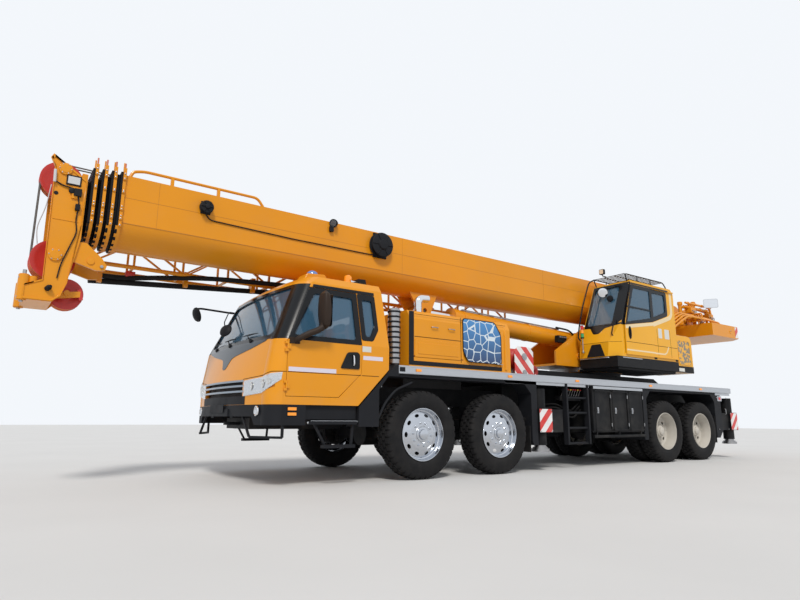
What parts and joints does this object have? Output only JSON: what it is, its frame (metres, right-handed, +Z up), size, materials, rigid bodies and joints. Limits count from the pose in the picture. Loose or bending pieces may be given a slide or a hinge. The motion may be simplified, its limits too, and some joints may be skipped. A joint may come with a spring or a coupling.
{
  "type": "four-axle truck-mounted telescopic mobile crane",
  "caption": "Truck-mounted mobile crane with twin-steer front axles, full-width low cab, slewing upper with operator's cab, telescopic boom stowed forward, outriggers and counterweight",
  "frame": {"origin": "on the ground under the middle of the whole crane's length and width, boom stowed forward", "axes": "+X forward along the boom, +Y to the crane's left, +Z up"},
  "size_m": [14.73, 3.24, 3.87],
  "materials": {
    "yellow_paint": "satin",
    "black_paint": "satin",
    "charcoal_plastic": "fine grain",
    "rail_aluminium": "brushed",
    "tyre_and_rim": "matt",
    "cab_pane": "clear",
    "polished_steel": "polished",
    "bare_steel": "worn",
    "engine_iron": "painted",
    "seat_cloth": "woven"
  },
  "bodies": {
    "chassis": {"chassis_frame": "black_paint", "outrigger_boxes": "black_paint", "deck": "rail_aluminium", "side_lockers": "black_paint", "fenders": "charcoal_plastic", "cab_shell": "yellow_paint", "cab_glass": "cab_pane", "front_bumper": "charcoal_plastic", "tow_eyes": "black_paint", "engine_hood": "yellow_paint", "engine": "engine_iron", "exhaust": "polished_steel", "axle_beams": "black_paint", "steps_ladders": "charcoal_plastic", "cab_interior": "seat_cloth", "right_mirror": "charcoal_plastic", "hook_block": "black_paint"},
    "knuckle_1_left": {"knuckle_1_left": "black_paint"},
    "knuckle_1_right": {"knuckle_1_right": "black_paint"},
    "knuckle_2_left": {"knuckle_2_left": "black_paint"},
    "knuckle_2_right": {"knuckle_2_right": "black_paint"},
    "wheel_1_left": {"wheel_1_left": "tyre_and_rim"},
    "wheel_1_right": {"wheel_1_right": "tyre_and_rim"},
    "wheel_2_left": {"wheel_2_left": "tyre_and_rim"},
    "wheel_2_right": {"wheel_2_right": "tyre_and_rim"},
    "wheel_3_left": {"wheel_3_left": "tyre_and_rim"},
    "wheel_3_right": {"wheel_3_right": "tyre_and_rim"},
    "wheel_4_left": {"wheel_4_left": "tyre_and_rim"},
    "wheel_4_right": {"wheel_4_right": "tyre_and_rim"},
    "door_left": {"cab_door_left": "yellow_paint", "door_glass_left": "cab_pane", "left_mirror": "charcoal_plastic"},
    "door_right": {"cab_door_right": "yellow_paint", "door_glass_right": "cab_pane"},
    "turntable": {"turntable_frame": "yellow_paint", "operator_seat": "seat_cloth", "operator_cab": "yellow_paint", "operator_glass": "cab_pane", "operator_cab_base": "charcoal_plastic", "counterweight": "yellow_paint", "winches": "black_paint", "cooler_box": "yellow_paint"},
    "operator_door": {"operator_door": "yellow_paint", "operator_door_glass": "cab_pane"},
    "boom_base": {"boom_base": "yellow_paint", "folding_jib": "yellow_paint"},
    "boom_section_2": {"boom_section_2": "yellow_paint"},
    "boom_section_3": {"boom_section_3": "yellow_paint"},
    "boom_section_4": {"boom_section_4": "yellow_paint"},
    "boom_head_section": {"boom_head_section": "yellow_paint"},
    "luffing_barrel": {"luffing_barrel": "yellow_paint"},
    "luffing_rod": {"luffing_rod": "polished_steel"},
    "outrigger_beam_front_left": {"outrigger_beam_front_left": "black_paint"},
    "outrigger_jack_front_left": {"outrigger_jack_front_left": "black_paint"},
    "outrigger_beam_front_right": {"outrigger_beam_front_right": "black_paint"},
    "outrigger_jack_front_right": {"outrigger_jack_front_right": "black_paint"},
    "outrigger_beam_rear_left": {"outrigger_beam_rear_left": "black_paint"},
    "outrigger_jack_rear_left": {"outrigger_jack_rear_left": "black_paint"},
    "outrigger_beam_rear_right": {"outrigger_beam_rear_right": "black_paint"},
    "outrigger_jack_rear_right": {"outrigger_jack_rear_right": "black_paint"}
  },
  "joints": [
    {"name": "steer_1_left", "type": "hinge", "parent": "chassis", "child": "knuckle_1_left", "pos_m": [2.565, 0.98, 0.595], "axis": [0, 0, 1], "range_deg": [-35, 35]},
    {"name": "steer_1_right", "type": "hinge", "parent": "chassis", "child": "knuckle_1_right", "pos_m": [2.565, -0.98, 0.595], "axis": [0, 0, 1], "range_deg": [-35, 35]},
    {"name": "steer_2_left", "type": "hinge", "parent": "chassis", "child": "knuckle_2_left", "pos_m": [1.095, 0.98, 0.595], "axis": [0, 0, 1], "range_deg": [-28, 28]},
    {"name": "steer_2_right", "type": "hinge", "parent": "chassis", "child": "knuckle_2_right", "pos_m": [1.095, -0.98, 0.595], "axis": [0, 0, 1], "range_deg": [-28, 28]},
    {"name": "spin_1_left", "type": "hinge", "parent": "knuckle_1_left", "child": "wheel_1_left", "pos_m": [2.565, 1.215, 0.595], "axis": [0, 1, 0], "continuous": true},
    {"name": "spin_1_right", "type": "hinge", "parent": "knuckle_1_right", "child": "wheel_1_right", "pos_m": [2.565, -1.215, 0.595], "axis": [0, 1, 0], "continuous": true},
    {"name": "spin_2_left", "type": "hinge", "parent": "knuckle_2_left", "child": "wheel_2_left", "pos_m": [1.095, 1.215, 0.595], "axis": [0, 1, 0], "continuous": true},
    {"name": "spin_2_right", "type": "hinge", "parent": "knuckle_2_right", "child": "wheel_2_right", "pos_m": [1.095, -1.215, 0.595], "axis": [0, 1, 0], "continuous": true},
    {"name": "spin_3_left", "type": "hinge", "parent": "chassis", "child": "wheel_3_left", "pos_m": [-3.535, 1.04, 0.595], "axis": [0, 1, 0], "continuous": true},
    {"name": "spin_3_right", "type": "hinge", "parent": "chassis", "child": "wheel_3_right", "pos_m": [-3.535, -1.04, 0.595], "axis": [0, 1, 0], "continuous": true},
    {"name": "spin_4_left", "type": "hinge", "parent": "chassis", "child": "wheel_4_left", "pos_m": [-4.885, 1.04, 0.595], "axis": [0, 1, 0], "continuous": true},
    {"name": "spin_4_right", "type": "hinge", "parent": "chassis", "child": "wheel_4_right", "pos_m": [-4.885, -1.04, 0.595], "axis": [0, 1, 0], "continuous": true},
    {"name": "door_left_hinge", "type": "hinge", "parent": "chassis", "child": "door_left", "pos_m": [4.633, 1.389, 1.4], "axis": [0, 0, -1], "range_deg": [0, 70]},
    {"name": "door_right_hinge", "type": "hinge", "parent": "chassis", "child": "door_right", "pos_m": [4.633, -1.389, 1.4], "axis": [0, 0, 1], "range_deg": [0, 70]},
    {"name": "slew", "type": "hinge", "parent": "chassis", "child": "turntable", "pos_m": [-2.885, 0, 1.745], "axis": [0, 0, 1], "continuous": true},
    {"name": "operator_door_slide", "type": "slide", "parent": "turntable", "child": "operator_door", "axis": [-1, 0, 0], "range_m": [0, 0.78]},
    {"name": "luff", "type": "hinge", "parent": "turntable", "child": "boom_base", "pos_m": [-4.885, 0, 3.15], "axis": [0, -1, 0], "range_deg": [0, 80]},
    {"name": "telescope_2", "type": "slide", "parent": "boom_base", "child": "boom_section_2", "axis": [1, 0, 0], "range_m": [0, 8.3]},
    {"name": "telescope_3", "type": "slide", "parent": "boom_section_2", "child": "boom_section_3", "axis": [1, 0, 0], "range_m": [0, 8.3]},
    {"name": "telescope_4", "type": "slide", "parent": "boom_section_3", "child": "boom_section_4", "axis": [1, 0, 0], "range_m": [0, 8.3]},
    {"name": "telescope_5", "type": "slide", "parent": "boom_section_4", "child": "boom_head_section", "axis": [1, 0, 0], "range_m": [0, 8.3]},
    {"name": "luff_barrel", "type": "hinge", "parent": "turntable", "child": "luffing_barrel", "pos_m": [-2.635, 0, 2.43], "axis": [0, -1, 0], "range_deg": [0, 92.6]},
    {"name": "luff_rod", "type": "slide", "parent": "luffing_barrel", "child": "luffing_rod", "axis": [0.9992, 0, 0.04], "range_m": [0, 2.799]},
    {"name": "beam_front_left", "type": "slide", "parent": "chassis", "child": "outrigger_beam_front_left", "axis": [0, 1, 0], "range_m": [0, 2]},
    {"name": "jack_front_left", "type": "slide", "parent": "outrigger_beam_front_left", "child": "outrigger_jack_front_left", "axis": [0, 0, -1], "range_m": [0, 0.6]},
    {"name": "beam_front_right", "type": "slide", "parent": "chassis", "child": "outrigger_beam_front_right", "axis": [0, -1, 0], "range_m": [0, 2]},
    {"name": "jack_front_right", "type": "slide", "parent": "outrigger_beam_front_right", "child": "outrigger_jack_front_right", "axis": [0, 0, -1], "range_m": [0, 0.6]},
    {"name": "beam_rear_left", "type": "slide", "parent": "chassis", "child": "outrigger_beam_rear_left", "axis": [0, 1, 0], "range_m": [0, 2]},
    {"name": "jack_rear_left", "type": "slide", "parent": "outrigger_beam_rear_left", "child": "outrigger_jack_rear_left", "axis": [0, 0, -1], "range_m": [0, 0.6]},
    {"name": "beam_rear_right", "type": "slide", "parent": "chassis", "child": "outrigger_beam_rear_right", "axis": [0, -1, 0], "range_m": [0, 2]},
    {"name": "jack_rear_right", "type": "slide", "parent": "outrigger_beam_rear_right", "child": "outrigger_jack_rear_right", "axis": [0, 0, -1], "range_m": [0, 0.6]}
  ],
  "couplings": [
    {"joint": "steer_1_right", "follows": "steer_1_left", "ratio": 1},
    {"joint": "steer_2_left", "follows": "steer_1_left", "ratio": 0.8},
    {"joint": "steer_2_right", "follows": "steer_1_left", "ratio": 0.8},
    {"joint": "telescope_4", "follows": "telescope_3", "ratio": 1},
    {"joint": "telescope_5", "follows": "telescope_3", "ratio": 1},
    {"joint": "luff_barrel", "follows": "luff", "ratio": 1.1553},
    {"joint": "luff_rod", "follows": "luff", "m_per_rad": 2.0026}
  ]
}
